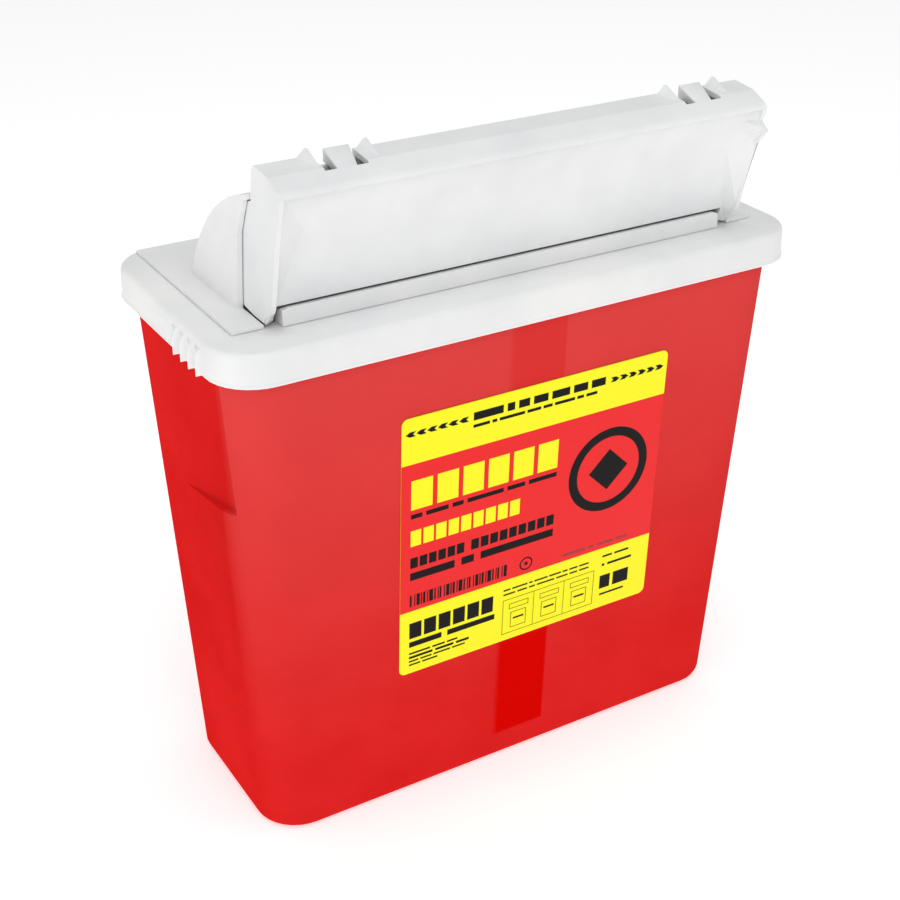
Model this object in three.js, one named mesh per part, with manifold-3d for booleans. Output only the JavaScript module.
// Wall-mounted sharps container with a counterbalanced front door. Units: mm, +Z up, front is -Y.
// Origin: centre of the footprint, on the surface the tub stands on.
import * as THREE from 'three';
import { mergeVertices } from 'three/addons/utils/BufferGeometryUtils.js';
import Module from 'manifold-3d';

const wasm = await Module();
wasm.setup();

// ---------------------------------------------------------------- driving dimensions
const TUB_H = 238.2;          // tub height over its rim
const TUB_TOP = [132.2, 57.2, 24];     // half width, half depth, corner radius where the lid skirt ends
const TUB_BASE = [121.8, 46.5, 20];    // the same at the base
const WALL = 2.0;             // tub wall
const SKIRT_Z = 227;          // bottom of the lid skirt
const LID = [135.6, 61.5, 20];         // half width, half depth, corner radius of the lid
const LID_TOP = SKIRT_Z + 13.75;       // lid border surface
const DECK = SKIRT_Z + 15.4;           // top of the hood's base plate
const HOOD_X = 113.3;         // outer face of the hood's end walls at their foot
const HOOD_IN = 110.55;       // inner face of the end walls
const ARC = [-53, SKIRT_Z - 13, 80];   // hood back: centre y, centre z, outer radius
const PIVOT = [-34, SKIRT_Z + 30];     // door pivot: y, z
const PLATE = [108.4, 110.2]; // door end plates, inner and outer face
const EAR = [104.6, 107.6];   // hinge ears of the hood
const CURB_X = 103.6;          // half length of the curb in front of the drop opening
const PIN_R = 2.0;            // pivot pins
const PIN_X = [104.2, 109.2]; // their ends: just inside the ears, and short of the plates' outer face
const CATCH_X = [-77.2, 85.4];         // centres of the two lock tongues
const LABEL = [-61, 70.5, 68, 196];    // label: left, right, bottom and top edge

// ---------------------------------------------------------------- small helpers
const rel = (pts) => pts.map(([y, z]) => [y, z + SKIRT_Z]);
const rad = (d) => (d * Math.PI) / 180;
const arc = (cy, cz, r, a0, a1, n) => Array.from({ length: n + 1 }, (_, i) => {
  const a = rad(a0 + ((a1 - a0) * i) / n);
  return [cy + r * Math.cos(a), cz + r * Math.sin(a)];
});

function solid(geometry) {
  const g = geometry.index ? geometry : mergeVertices(geometry);
  g.deleteAttribute('normal');
  g.deleteAttribute('uv');
  const m = mergeVertices(g, 1e-5);
  return new wasm.Manifold(new wasm.Mesh({
    numProp: 3,
    vertProperties: new Float32Array(m.attributes.position.array),
    triVerts: new Uint32Array(m.index.array),
  }));
}

function node(name, body, color, roughness, metalness = 0) {
  const mesh = body.getMesh();
  const g = new THREE.BufferGeometry();
  g.setAttribute('position', new THREE.BufferAttribute(Float32Array.from(mesh.vertProperties), 3));
  g.setIndex(new THREE.BufferAttribute(Uint32Array.from(mesh.triVerts), 1));
  const flat = g.toNonIndexed();
  flat.computeVertexNormals();
  const out = new THREE.Mesh(flat, new THREE.MeshStandardMaterial({ color, roughness, metalness }));
  out.name = name;
  return out;
}

// outline in the YZ plane, extruded between two x values
function slab(pts, x0, x1) {
  const s = new THREE.Shape(pts.map(([y, z]) => new THREE.Vector2(y, z)));
  const g = new THREE.ExtrudeGeometry(s, { depth: x1 - x0, bevelEnabled: false });
  g.applyMatrix4(new THREE.Matrix4().set(0, 0, 1, x0, 1, 0, 0, 0, 0, 1, 0, 0, 0, 0, 0, 1));
  return solid(g);
}

// outline in the XY plane, extruded between two z values
function plan(pts, z0, z1) {
  const s = new THREE.Shape(pts.map(([x, y]) => new THREE.Vector2(x, y)));
  const g = new THREE.ExtrudeGeometry(s, { depth: z1 - z0, bevelEnabled: false });
  return solid(g.translate(0, 0, z0));
}

const box = (x0, x1, y0, y1, z0, z1) => plan([[x0, y0], [x1, y0], [x1, y1], [x0, y1]], z0, z1);

function roundedRect(hx, hy, r, n = 8) {
  const pts = [];
  for (const [sx, sy, a0] of [[1, 1, 0], [-1, 1, 90], [-1, -1, 180], [1, -1, 270]]) {
    for (let i = 0; i <= n; i++) {
      const a = rad(a0 + (90 * i) / n);
      pts.push([sx * (hx - r) + r * Math.cos(a), sy * (hy - r) + r * Math.sin(a)]);
    }
  }
  return pts;
}

// closed skin over level rings [half x, half y, corner radius, z], capped at both ends
function loft(rings) {
  const rows = rings.map(([hx, hy, r, z]) => roundedRect(hx, hy, r).map(([x, y]) => [x, y, z]));
  const n = rows[0].length;
  const pos = rows.flat(2);
  const idx = [];
  for (let k = 0; k + 1 < rows.length; k++) {
    for (let i = 0; i < n; i++) {
      const j = (i + 1) % n;
      const [a, b, c, d] = [k * n + i, k * n + j, (k + 1) * n + j, (k + 1) * n + i];
      idx.push(a, b, c, a, c, d);
    }
  }
  for (let i = 1; i + 1 < n; i++) idx.push(0, i + 1, i);
  const t = (rows.length - 1) * n;
  for (let i = 1; i + 1 < n; i++) idx.push(t, t + i, t + i + 1);
  const g = new THREE.BufferGeometry();
  g.setAttribute('position', new THREE.BufferAttribute(Float32Array.from(pos), 3));
  g.setIndex(idx);
  return solid(g);
}

// flat-faced body from corner points and faces wound one way; mirrored copies are turned right side out
function facets(points, faces) {
  const v = points.map((p) => new THREE.Vector3(...p));
  let tri = faces.flatMap((f) => f.slice(2).map((_, i) => [f[0], f[i + 1], f[i + 2]]));
  const volume = tri.reduce((sum, [a, b, c]) => sum + v[a].dot(v[b].clone().cross(v[c])), 0);
  if (volume < 0) tri = tri.map(([a, b, c]) => [a, c, b]);
  const g = new THREE.BufferGeometry();
  g.setAttribute('position', new THREE.BufferAttribute(Float32Array.from(points.flat()), 3));
  g.setIndex(tri.flat());
  return solid(g);
}

function rod(y, z, r, x0, x1, n = 40) {
  const g = new THREE.CylinderGeometry(r, r, x1 - x0, n).rotateZ(Math.PI / 2);
  return solid(g.translate((x0 + x1) / 2, y, z));
}

const join = (list) => list.reduce((a, b) => a.add(b));
const both = (make) => make(-1).add(make(1));
const spanX = (s, a, b) => (s < 0 ? [-b, -a] : [a, b]);

// ---------------------------------------------------------------- tub
// Tapered, thin-walled, with a rolled rim under the lid, a recessed grip low step in each end wall
// and a thicker flow leader up the inside of the front wall.
const taper = (z) => z / SKIRT_Z;
const tubRing = (z, inset, r = 0) => {
  const t = taper(z);
  return [
    TUB_BASE[0] + (TUB_TOP[0] - TUB_BASE[0]) * t - inset,
    TUB_BASE[1] + (TUB_TOP[1] - TUB_BASE[1]) * t - inset,
    TUB_BASE[2] + (TUB_TOP[2] - TUB_BASE[2]) * t - inset + r, z];
};
function tub() {
  const outer = loft([
    tubRing(0, 3.6), tubRing(0.5, 1.9), tubRing(1.6, 0.7), tubRing(3.4, 0), tubRing(SKIRT_Z - 3, 0),
    tubRing(SKIRT_Z + 5, 0), tubRing(SKIRT_Z + 6, -0.8), tubRing(TUB_H - 1, -0.8), tubRing(TUB_H, -0.2)]);
  const inner = loft([
    tubRing(WALL + 0.2, 5.4), tubRing(WALL + 1.2, 3.4), tubRing(WALL + 3, WALL), tubRing(SKIRT_Z + 5, WALL),
    tubRing(TUB_H + 1, WALL)]);
  // grip pockets: nothing at their back end, deepest at a step near the front corner
  const pocket = (s, grow) => {
    const y0 = -41 - grow, y1 = 6, z0 = 161 - grow, z1 = TUB_H + 2;
    const depth = 4.6;
    const corner = (y, z, d) => [s * (tubRing(z, 0)[0] - d + (grow ? -WALL : 0)), y, z];
    const far = (y, z) => [s * 150, y, z];
    const slopeZ = z0 - 4;                       // the ledge falls away towards the back
    const p = [
      corner(y0, z0 + 4, depth), corner(y1, slopeZ, 0), corner(y1, z1, 0), corner(y0, z1, depth),
      far(y0, z0 + 2), far(y1, slopeZ - 2), far(y1, z1), far(y0, z1)];
    const f = [[0, 1, 2, 3], [4, 7, 6, 5], [0, 4, 5, 1], [3, 2, 6, 7], [0, 3, 7, 4], [1, 5, 6, 2]];
    return facets(p, f);
  };
  const leader = facets(
    [[-10, 0], [16.4, 0], [16.4, 1], [-10, 1]].flatMap(([x, back]) => {
      const y = (z) => -tubRing(z, WALL)[1] + (back ? 0.9 : -0.6);
      return [[x, y(14), 14], [x, y(220), 220]];
    }),
    [[0, 2, 3, 1], [6, 7, 5, 4], [0, 6, 4, 2], [1, 3, 5, 7], [0, 1, 7, 6], [2, 4, 5, 3]]);
  let body = outer.subtract(inner).add(leader.intersect(outer));
  // the pockets keep the wall: thicken behind them first, then cut them
  const backing = both((s) => pocket(s, WALL)).intersect(outer).subtract(
    loft([tubRing(WALL + 3, 7.2), tubRing(TUB_H + 3, 7.2)]));
  body = body.add(backing.intersect(loft([tubRing(140, 0), tubRing(SKIRT_Z + 2, 0)])));
  const cut = both((s) => pocket(s, 0)).intersect(loft([tubRing(120, -20), tubRing(SKIRT_Z + 1.5, -20)]));
  body = body.subtract(cut);
  // shallow hollow under the base leaves a standing ring
  const [bx, by] = TUB_BASE;
  return body.subtract(loft([[bx - 14, by - 14, 8, -1], [bx - 14.6, by - 14.6, 8, 0.8]]));
}

// ---------------------------------------------------------------- lid
function lid() {
  const [hx, hy, r] = LID;
  const outer = loft([
    [hx + 0.3, hy + 0.3, r, SKIRT_Z], [hx + 0.3, hy + 0.3, r, SKIRT_Z + 1], [hx, hy, r, SKIRT_Z + 1.5],
    [hx - 0.2, hy - 0.2, r, LID_TOP - 2], [hx - 0.6, hy - 0.6, r - 0.4, LID_TOP - 0.9],
    [hx - 1.2, hy - 1.2, r - 1, LID_TOP - 0.25], [hx - 2, hy - 2, r - 1.8, LID_TOP]]);
  const inner = loft([[hx - 1.5, hy - 1.5, r - 1, SKIRT_Z - 1], [hx - 1.6, hy - 1.6, r - 1.2, LID_TOP - 2]]);
  let body = outer.subtract(inner);
  // drop opening under the hood
  body = body.subtract(box(-115, 115, -38.1, 47, LID_TOP - 4, LID_TOP + 2));
  // downward collar that centres the lid inside the tub mouth
  const collar = loft([[127.5, 52.5, 19, SKIRT_Z - 4], [127.5, 52.5, 19, LID_TOP - 1.5]]).subtract(
    loft([[125.9, 50.9, 17.5, SKIRT_Z - 5], [125.9, 50.9, 17.5, LID_TOP + 1]]));
  const notch = both((s) => box(...spanX(s, 118, 130), -45, -6, SKIRT_Z - 5, SKIRT_Z + 4));
  body = body.add(collar.subtract(notch));
  // saw-tooth finger ribs at the front of both ends, with a small gusset leading up to them
  for (const s of [-1, 1]) {
    const teeth = [];
    for (let i = 0; i < 4; i++) {
      const y = -9.2 - 7.4 * i;
      const foot = s * (hx - 1), crest = s * (hx + 2.8);
      const p = [
        [foot, y, SKIRT_Z], [foot, y - 7.4, SKIRT_Z], [crest, y - 7.4, SKIRT_Z],
        [foot, y, SKIRT_Z + 10.4], [foot, y - 7.4, SKIRT_Z + 11.6], [crest, y - 7.4, SKIRT_Z + 7.6],
        [s * (hx + 1.9), y - 7.4, SKIRT_Z + 9.4]];
      const f = [[0, 1, 2], [0, 3, 4, 1], [1, 4, 6, 5, 2], [0, 2, 5], [0, 5, 6], [0, 6, 3], [3, 6, 4]];
      teeth.push(facets(p, f));
    }
    const gusset = facets(
      [[s * (hx - 1), 6.5, LID_TOP - 2.4], [s * (hx - 1), -9.2, SKIRT_Z + 3],
        [s * (hx + 0.8), -9.2, SKIRT_Z + 3], [s * (hx - 1), -9.2, SKIRT_Z + 10.6]],
      [[0, 1, 2], [0, 3, 1], [0, 2, 3], [1, 3, 2]]);
    body = body.add(join(teeth)).add(gusset);
  }
  return body;
}

// ---------------------------------------------------------------- hood
// Base plate with end walls and a curved back; two ears inside carry the door pins.
const HOOD_FRONT = rel([[-21.8, 15.0], [-22.2, 20.6], [-25.6, 47.5]]);
function hood() {
  const [cy, cz, R] = ARC;
  const px = 123.7, front = -40.3;
  const plate = plan([[-px, front], [-HOOD_IN, front], [-HOOD_IN, 22], [HOOD_IN, 22], [HOOD_IN, front],
    [px, front], [px, 57.5], [-px, 57.5]], LID_TOP + 0.25, DECK);
  const chamfer = slab([[57.6, DECK + 0.1], [56.2, DECK + 0.1], [57.6, DECK - 0.9]], -130, 130);
  const a0 = 20.2, a1 = 75.9;
  const shellOut = arc(cy, cz, R, a0, a1, 22);
  const shell = slab([...shellOut, ...arc(cy, cz, R - 2, a1, a0 + 0.3, 22)], -HOOD_X, HOOD_X);
  const endWall = (s) => slab([...shellOut, ...[...HOOD_FRONT].reverse()], ...spanX(s, HOOD_IN, HOOD_X));
  // collar below the plate round the drop opening, with the hinge beam across its front
  const side = (s) => slab(
    rel([[-37.8, 3], [22, 3], [22, 14.6], [-37.8, 14.6]]), ...spanX(s, HOOD_IN, HOOD_IN + 2));
  const back = slab(rel([[20, 3], [22, 3], [22, 15], [20, 15]]), -HOOD_IN - 1, HOOD_IN + 1);
  const beam = slab(rel([[-37.8, 3], [-35, 3], [-35, 13.2], [-37.8, 13.2]]), -HOOD_IN - 1, HOOD_IN + 1);
  // upright curb along the front of the opening; its top is hollowed so that the door's foot clears it,
  // and its ends run out downwards under the door's forward-standing side facets when it is open
  const [runIn, runOut] = [SKIRT_Z + 21, SKIRT_Z + 19.2];
  const runoff = (s) => facets(
    [[s * 101, -50, runIn], [s * 106, -50, runOut], [s * 106, -30, runOut], [s * 101, -30, runIn],
      [s * 101, -50, DECK + 9], [s * 106, -50, DECK + 9], [s * 106, -30, DECK + 9], [s * 101, -30, DECK + 9]],
    [[0, 3, 2, 1], [4, 5, 6, 7], [0, 1, 5, 4], [3, 7, 6, 2], [0, 4, 7, 3], [1, 2, 6, 5]]);
  const curb = slab(rel([[-42.6, 14.0], [-37.8, 14.0], [-37.8, 12], [-35, 12], [-35, 18.8], [-36.8, 18.8],
    [-38.8, 19.6], [-40.6, 21], [-42.2, 21]]), -CURB_X, CURB_X).subtract(both(runoff));
  // each ear is an arm that reaches forward from behind, so the foot of the door passes under it
  const arm = rel([[-27, 25.6], [-20.5, 21], [-18, 3], [-6, 3], [-8, 17], [-18, 28]]);
  const ear = (s) => slab([...arc(...PIVOT, 4.8, 60, 262, 20), ...arm], ...spanX(s, ...EAR))
    .subtract(rod(...PIVOT, PIN_R + 0.02, -130, 130));
  const rootOutline = rel([[-18, 3], [-6, 3], [-6.6, 12], [-18.8, 12]]);
  const root = (s) => slab(rootOutline, ...spanX(s, EAR[0], HOOD_IN + 1));
  const body = join([plate.subtract(chamfer), shell, both(endWall), both(side), back, beam, curb,
    both(ear), both(root)]);
  // moulding draft on the outside of the end walls
  const high = DECK + 52, foot = HOOD_X + 0.01, head = HOOD_X - 1.1, clear = 120;
  const draft = (s) => facets(
    [[s * foot, -60, DECK], [s * foot, 40, DECK], [s * head, 40, high], [s * head, -60, high],
      [s * clear, -60, DECK], [s * clear, 40, DECK], [s * clear, 40, high], [s * clear, -60, high]],
    [[0, 3, 2, 1], [4, 5, 6, 7], [0, 1, 5, 4], [3, 7, 6, 2], [0, 4, 7, 3], [1, 2, 6, 5]]);
  return body.subtract(both(draft));
}

// ---------------------------------------------------------------- door
// Dished front, rolled rim along the top, an end plate at each side that turns inside the hood.
const RIM_TOP = rel([[-38.4, 76.6], [-50, 75.4], [-57.8, 71.9], [-59.2, 71.0], [-59.9, 69.6]]);
const TIP = [-61.8, SKIRT_Z + 60.8];
// Rows from the rim down: height, x of the panel's corner, y of the panel, y of the left and right edges.
const DISH = [
  [70.6, 107.5, -57.4, -57.6, -57.6], [64.1, 103.5, -54.9, -57, -57.2], [60.8, 101.4, -53.7, -56.3, -61.8],
  [54.1, 97.3, -51.2, -54.9, -56.4], [22.6, 106, -41.6, -47, -47], [15.2, 106.4, -38.4, -40.4, -40.4]];
function dish() {
  const thick = 2.2, edge = 109.6;
  const rows = DISH.flatMap(
    ([z, x, y, left, right]) => [[-edge, left, z], [-x, y, z], [x, y, z], [edge, right, z]]);
  const front = rows.map(([x, y, z]) => [x, y, z + SKIRT_Z]);
  const n = front.length;
  const pts = [...front, ...front.map(([x, y, z]) => [x, y + thick, z])];
  const faces = [];
  for (let k = 0; k + 4 < n; k += 4) {
    for (let c = 0; c < 3; c++) {
      const a = k + c;
      faces.push([a, a + 4, a + 5, a + 1], [a + n, a + n + 1, a + n + 5, a + n + 4]);
    }
    faces.push([k, k + n, k + n + 4, k + 4], [k + 3, k + 7, k + n + 7, k + n + 3]);
  }
  for (let c = 0; c < 3; c++) {
    faces.push([c, c + 1, c + n + 1, c + n], [n - 4 + c, 2 * n - 4 + c, 2 * n - 3 + c, n - 3 + c]);
  }
  // the middle stops above the hood's front curb; only the two corners reach down to the deck
  const middle = 105.8;
  return facets(pts, faces).subtract(box(-middle, middle, -60, -30, SKIRT_Z + 10, SKIRT_Z + 22.1));
}
const FIN_BACK = [-38.6, SKIRT_Z + 75.6];
function door() {
  const [py, pz] = PIVOT;
  const rimUnder = rel(
    [[-58.4, 69.0], [-56.6, 70.0], [-50, 73.0], [-40.4, 74.2], [-40.4, 66.8], [-38.4, 66.8]]);
  const rimBody = slab([...RIM_TOP, ...rimUnder], -109.6, 109.6);
  const foot = rel([[-47.8, 24], [-46.6, 21.9], [-44.8, 20.3], [-42.6, 19.2], [-40.8, 17.8], [-39.5, 15.8]]);
  const front = (s) => (s < 0 ? rel([[-54.2, 50.5]])
    : [...rel([[-57.6, 64.1]]), TIP, ...rel([[-57, 55.1], [-54.2, 50.5]])]);
  const endPlate = (s) => slab([...RIM_TOP, ...front(s), ...foot, ...rel([[-31, 15.8], [-10, 18]]),
    ...arc(py, pz, 30.2, -14, 60, 16), ...arc(ARC[0], ARC[1], ARC[2] - 2.7, 65, 76.1, 6),
    ...rel([[-34.7, 65.9], [-37, 74.8]])], ...spanX(s, ...PLATE));
  let body = join([rimBody, dish(), both(endPlate)]);
  // blind bores: a thin skin of the end plates hides the pins from outside
  body = body.subtract(rod(...PIVOT, PIN_R + 0.08, -PIN_X[1] - 0.3, PIN_X[1] + 0.3));
  // openings round the two lock tongues
  for (const cx of CATCH_X) {
    body = body.subtract(box(cx - 10.8, cx + 6.9, -51.6, -37, SKIRT_Z + 71.6, SKIRT_Z + 80));
    body = body.add(box(cx - 10.9, cx + 7, -40.4, -38.4, SKIRT_Z + 70, SKIRT_Z + 72.4));
    // three-sided guide fins either side of each tongue
    for (const [x0, w] of [[cx - 17.0, 5.6], [cx + 7.4, 5.6]]) {
      const [yb, zb] = FIN_BACK;
      const pts = [[x0, yb, zb], [x0 + w, yb, zb], [x0 + w, -51.4, zb - 1.5], [x0 + w - 1.4, -51.4, zb - 1.5],
        [x0 + w - 1.2, yb, zb + 4.2], [x0 + w, yb, zb + 4.0],
        [x0, yb, zb - 1.8], [x0 + w, yb, zb - 1.8], [x0 + w, -51.4, zb - 3], [x0 + w - 1.4, -51.4, zb - 3]];
      body = body.add(facets(pts, [[4, 0, 3], [4, 3, 2], [4, 2, 5], [5, 2, 1], [4, 5, 1, 0],
        [6, 9, 3, 0], [9, 8, 2, 3], [8, 7, 1, 2], [7, 6, 0, 1], [6, 7, 8, 9]]));
    }
  }
  return body;
}

// ramped lock tongue, wider at its free back end
function tongue(cx) {
  const Z = (z) => SKIRT_Z + z;
  const p = [
    [cx - 5.4, -38.6, Z(73.4)], [cx + 5.4, -38.6, Z(73.4)],
    [cx + 2.6, -51.2, Z(71.9)], [cx - 5.4, -51.2, Z(71.9)],
    [cx - 5.4, -38.6, Z(78.6)], [cx + 5.4, -38.6, Z(78.6)],
    [cx + 2.6, -51.2, Z(74.2)], [cx - 5.4, -51.2, Z(74.2)]];
  return facets(p, [[0, 1, 2, 3], [7, 6, 5, 4], [0, 4, 5, 1], [1, 5, 6, 2], [2, 6, 7, 3], [3, 7, 4, 0]]);
}

// ---------------------------------------------------------------- tray and counterweight
// Sloping chute behind the door; its tail carries a steel rod that swings the door shut.
const ROD = [PIVOT[0] + 19.5, PIVOT[1] - 24.5];
function tray() {
  const floor = slab(rel([[-41.2, 34], [-37.9, 23.4], [-36.3, 21.4], [-10, 9.4], [-8.6, 9.6], [-8.0, 11.4],
    [-9.2, 11.6], [-35.2, 23.4], [-36.4, 24.6], [-39.4, 34]]), -103.6, 103.6);
  const clip = slab([...arc(...ROD, 5, -58, 238, 30), ...arc(...ROD, 3.3, 238, -58, 30)], -97, 97);
  const cheek = (s) => slab(rel([[-40.9, 33], [-37.7, 22.9], [-36.3, 21.6], [-10, 9.6], [-8.2, 14], [-25, 37],
    [-31, 41], [-38.5, 41], [-40.9, 38]]), ...spanX(s, 101.8, 103.6));
  const webs = [-60, -20, 20, 60].map((x) => slab([[ROD[0] - 2.6, ROD[1] + 3.9], [ROD[0] + 4.4, ROD[1] + 2.2],
    ...rel([[-10, 9.8], [-22, 15.3]])], x - 1, x + 1));
  return join([floor, clip, both(cheek), ...webs]);
}

// ---------------------------------------------------------------- label
function label() {
  const [x0, x1, z0, z1] = LABEL;
  const y = (z) => -tubRing(z, 0)[1];
  const tilt = Math.atan2(y(z0) - y(z1), z1 - z0);
  const s = new THREE.Shape();
  const w = (x1 - x0) / 2, h = (z1 - z0) / 2 / Math.cos(tilt), r = 3;
  s.moveTo(-w + r, -h);
  s.lineTo(w - r, -h); s.absarc(w - r, -h + r, r, -Math.PI / 2, 0);
  s.lineTo(w, h - r); s.absarc(w - r, h - r, r, 0, Math.PI / 2);
  s.lineTo(-w + r, h); s.absarc(-w + r, h - r, r, Math.PI / 2, Math.PI);
  s.lineTo(-w, -h + r); s.absarc(-w + r, -h + r, r, Math.PI, 1.5 * Math.PI);
  const g = new THREE.ExtrudeGeometry(s, { depth: 0.3, bevelEnabled: false, curveSegments: 6 });
  g.rotateX(Math.PI / 2 + tilt).translate((x0 + x1) / 2, (y(z0) + y(z1)) / 2 - 0.12, (z0 + z1) / 2);
  return solid(g);
}

// ---------------------------------------------------------------- assembly
const RED = 0xc8161a, WHITE = 0xe9e9e6;
const group = new THREE.Group();
group.name = 'sharps_container';
group.add(node('tub', tub(), RED, 0.45));
group.add(node('front_label', label(), 0xf4d90c, 0.4));
group.add(node('lid', lid(), WHITE, 0.5));
group.add(node('hood', hood(), WHITE, 0.5));
group.add(node('door', door(), WHITE, 0.5));
group.add(node('tray', tray(), 0xdedfdc, 0.5));
group.add(node('counterweight', rod(...ROD, 3.0, -95, 95, 32), 0x9a9c9e, 0.35, 1));
for (const [side, s] of [['left', -1], ['right', 1]]) {
  group.add(node(`pivot_pin_${side}`, rod(...PIVOT, PIN_R, ...spanX(s, ...PIN_X), 40), 0xd8d8d4, 0.4));
  group.add(node(`lock_tongue_${side}`, tongue(CATCH_X[s < 0 ? 0 : 1]), WHITE, 0.5));
}
export default group;
